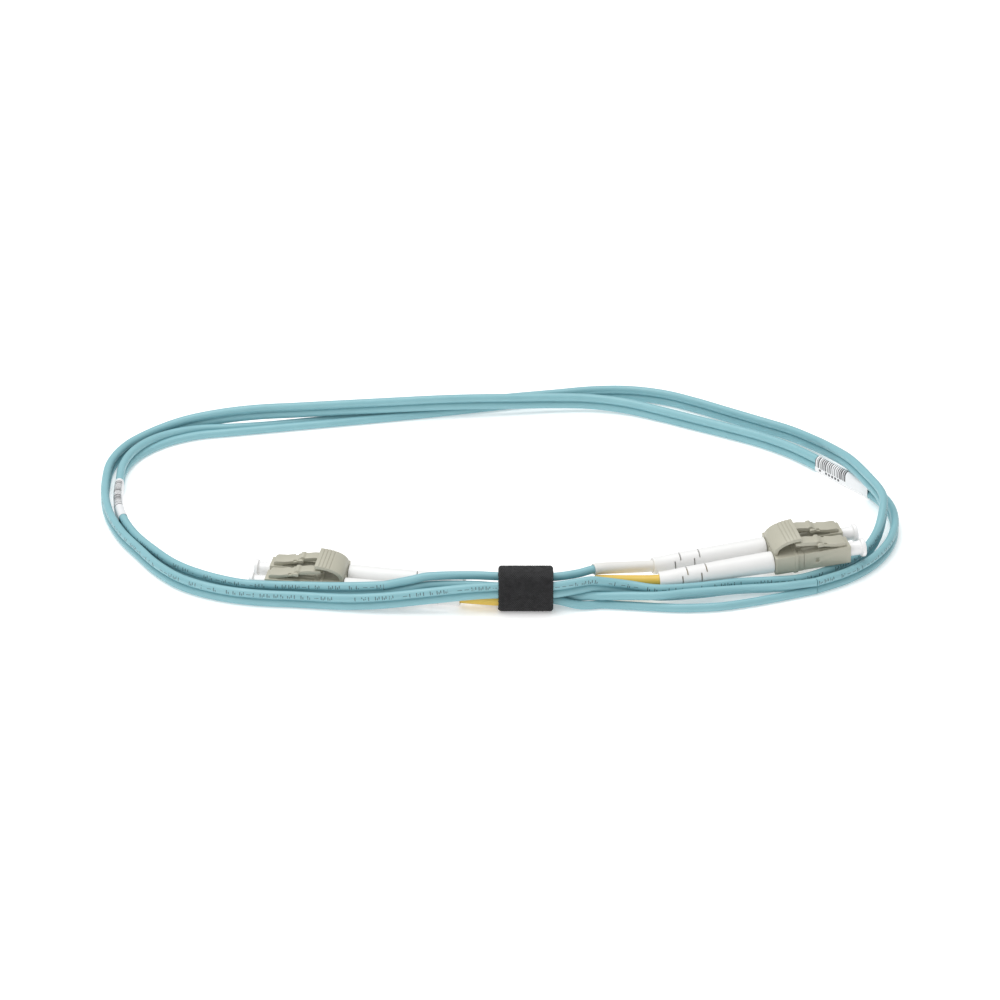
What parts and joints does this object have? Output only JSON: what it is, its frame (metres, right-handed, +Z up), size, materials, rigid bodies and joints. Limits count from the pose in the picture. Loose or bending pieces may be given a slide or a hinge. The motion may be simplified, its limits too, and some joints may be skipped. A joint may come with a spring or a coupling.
{
  "type": "fiber optic patch cord",
  "caption": "Duplex LC to LC fibre patch cord coiled in two turns and tied, with latching plugs, press triggers and sprung ferrules.",
  "frame": {"origin": "middle of the flat underside of the hook-and-loop tie, on the plane the coil lies on", "axes": "+X along the tied bundle towards connector B, +Z up from the plane the coil lies on, +Y from the tie into the loop"},
  "size_m": [0.1933, 0.1124, 0.0132],
  "materials": {
    "beige_plastic": "satin moulded",
    "ceramic": "polished white ceramic",
    "nickel_plated": "nickel plated",
    "spring_steel": "drawn wire",
    "crimp_metal": "satin",
    "boot_white": "soft satin",
    "cap_white": "smooth moulded",
    "sleeve_white": "satin tube",
    "sleeve_yellow": "satin tube",
    "label_film": "thin film",
    "hook_and_loop": "woven loop pile",
    "aqua_jacket": "satin extruded"
  },
  "bodies": {
    "cord_body": {"a_duplex_clip": "beige_plastic", "b_duplex_clip": "beige_plastic", "a1_plug_housing": "beige_plastic", "a2_plug_housing": "beige_plastic", "b1_plug_housing": "beige_plastic", "b2_plug_housing": "beige_plastic", "a1_spring": "spring_steel", "a2_spring": "spring_steel", "b1_spring": "spring_steel", "b2_spring": "spring_steel", "a1_rear_body": "beige_plastic", "a2_rear_body": "beige_plastic", "b1_rear_body": "beige_plastic", "b2_rear_body": "beige_plastic", "a1_crimp_sleeve": "crimp_metal", "a2_crimp_sleeve": "crimp_metal", "b1_crimp_sleeve": "crimp_metal", "b2_crimp_sleeve": "crimp_metal", "a1_boot": "boot_white", "a2_boot": "boot_white", "b1_boot": "boot_white", "b2_boot": "boot_white", "a1_leg_sleeve": "sleeve_white", "a2_leg_sleeve": "sleeve_yellow", "b1_leg_sleeve": "sleeve_white", "b2_leg_sleeve": "sleeve_yellow", "a1_leg": "aqua_jacket", "a2_leg": "aqua_jacket", "b1_leg": "aqua_jacket", "b2_leg": "aqua_jacket", "zipcord_right": "aqua_jacket", "zipcord_back": "aqua_jacket", "zipcord_left": "aqua_jacket", "zipcord_front": "aqua_jacket", "zipcord_second_turn": "aqua_jacket", "label_near_a": "label_film", "label_near_b": "label_film", "hook_and_loop_tie": "hook_and_loop"},
    "a_trigger": {"a_trigger": "beige_plastic"},
    "b_trigger": {"b_trigger": "beige_plastic"},
    "a1_latch": {"a1_latch": "beige_plastic"},
    "a1_ferrule": {"a1_ferrule": "ceramic", "a1_ferrule_holder": "nickel_plated"},
    "a1_dust_cap": {"a1_dust_cap": "cap_white"},
    "a2_latch": {"a2_latch": "beige_plastic"},
    "a2_ferrule": {"a2_ferrule": "ceramic", "a2_ferrule_holder": "nickel_plated"},
    "a2_dust_cap": {"a2_dust_cap": "cap_white"},
    "b1_latch": {"b1_latch": "beige_plastic"},
    "b1_ferrule": {"b1_ferrule": "ceramic", "b1_ferrule_holder": "nickel_plated"},
    "b1_dust_cap": {"b1_dust_cap": "cap_white"},
    "b2_latch": {"b2_latch": "beige_plastic"},
    "b2_ferrule": {"b2_ferrule": "ceramic", "b2_ferrule_holder": "nickel_plated"},
    "b2_dust_cap": {"b2_dust_cap": "cap_white"}
  },
  "joints": [
    {"name": "a_trigger_press", "type": "hinge", "parent": "cord_body", "child": "a_trigger", "pos_m": [-0.04246, 0.00724, 0.00542], "axis": [-0.1495, -0.9886, -0.0175], "range_deg": [0, 11], "stiffness_Nm_per_rad": 0.15},
    {"name": "b_trigger_press", "type": "hinge", "parent": "cord_body", "child": "b_trigger", "pos_m": [0.05766, 0.01336, 0.00923], "axis": [-0.2353, 0.968, 0.087], "range_deg": [0, 11], "stiffness_Nm_per_rad": 0.15},
    {"name": "a1_latch_flex", "type": "hinge", "parent": "cord_body", "child": "a1_latch", "pos_m": [-0.05805, 0.01276, 0.00522], "axis": [0.1495, 0.9886, 0.0175], "range_deg": [0, 5.7]},
    {"name": "a1_ferrule_float", "type": "slide", "parent": "cord_body", "child": "a1_ferrule", "axis": [0.9888, -0.1495, 0], "range_m": [0, 0.0012], "stiffness_N_per_m": 3500, "deforming": ["a1_spring"]},
    {"name": "a1_cap_pull", "type": "slide", "parent": "cord_body", "child": "a1_dust_cap", "axis": [-0.9888, 0.1495, 0], "range_m": [0, 0.0032]},
    {"name": "a2_latch_flex", "type": "hinge", "parent": "cord_body", "child": "a2_latch", "pos_m": [-0.05899, 0.00658, 0.00512], "axis": [0.1495, 0.9886, 0.0175], "range_deg": [0, 5.7]},
    {"name": "a2_ferrule_float", "type": "slide", "parent": "cord_body", "child": "a2_ferrule", "axis": [0.9888, -0.1495, 0], "range_m": [0, 0.0012], "stiffness_N_per_m": 3500, "deforming": ["a2_spring"]},
    {"name": "a2_cap_pull", "type": "slide", "parent": "cord_body", "child": "a2_dust_cap", "axis": [-0.9888, 0.1495, 0], "range_m": [0, 0.0032]},
    {"name": "b1_latch_flex", "type": "hinge", "parent": "cord_body", "child": "b1_latch", "pos_m": [0.07271, 0.02017, 0.01011], "axis": [0.2353, -0.968, -0.087], "range_deg": [0, 5.7]},
    {"name": "b1_ferrule_float", "type": "slide", "parent": "cord_body", "child": "b1_ferrule", "axis": [-0.9714, -0.2314, -0.0523], "range_m": [0, 0.0012], "stiffness_N_per_m": 3500, "deforming": ["b1_spring"]},
    {"name": "b1_cap_pull", "type": "slide", "parent": "cord_body", "child": "b1_dust_cap", "axis": [0.9714, 0.2314, 0.0523], "range_m": [0, 0.0032]},
    {"name": "b2_latch_flex", "type": "hinge", "parent": "cord_body", "child": "b2_latch", "pos_m": [0.07418, 0.01412, 0.00956], "axis": [0.2353, -0.968, -0.087], "range_deg": [0, 5.7]},
    {"name": "b2_ferrule_float", "type": "slide", "parent": "cord_body", "child": "b2_ferrule", "axis": [-0.9714, -0.2314, -0.0523], "range_m": [0, 0.0012], "stiffness_N_per_m": 3500, "deforming": ["b2_spring"]},
    {"name": "b2_cap_pull", "type": "slide", "parent": "cord_body", "child": "b2_dust_cap", "axis": [0.9714, 0.2314, 0.0523], "range_m": [0, 0.0032]}
  ],
  "couplings": [
    {"joint": "a1_latch_flex", "follows": "a_trigger_press", "ratio": 0.51},
    {"joint": "a2_latch_flex", "follows": "a_trigger_press", "ratio": 0.51},
    {"joint": "b1_latch_flex", "follows": "b_trigger_press", "ratio": 0.51},
    {"joint": "b2_latch_flex", "follows": "b_trigger_press", "ratio": 0.51}
  ]
}
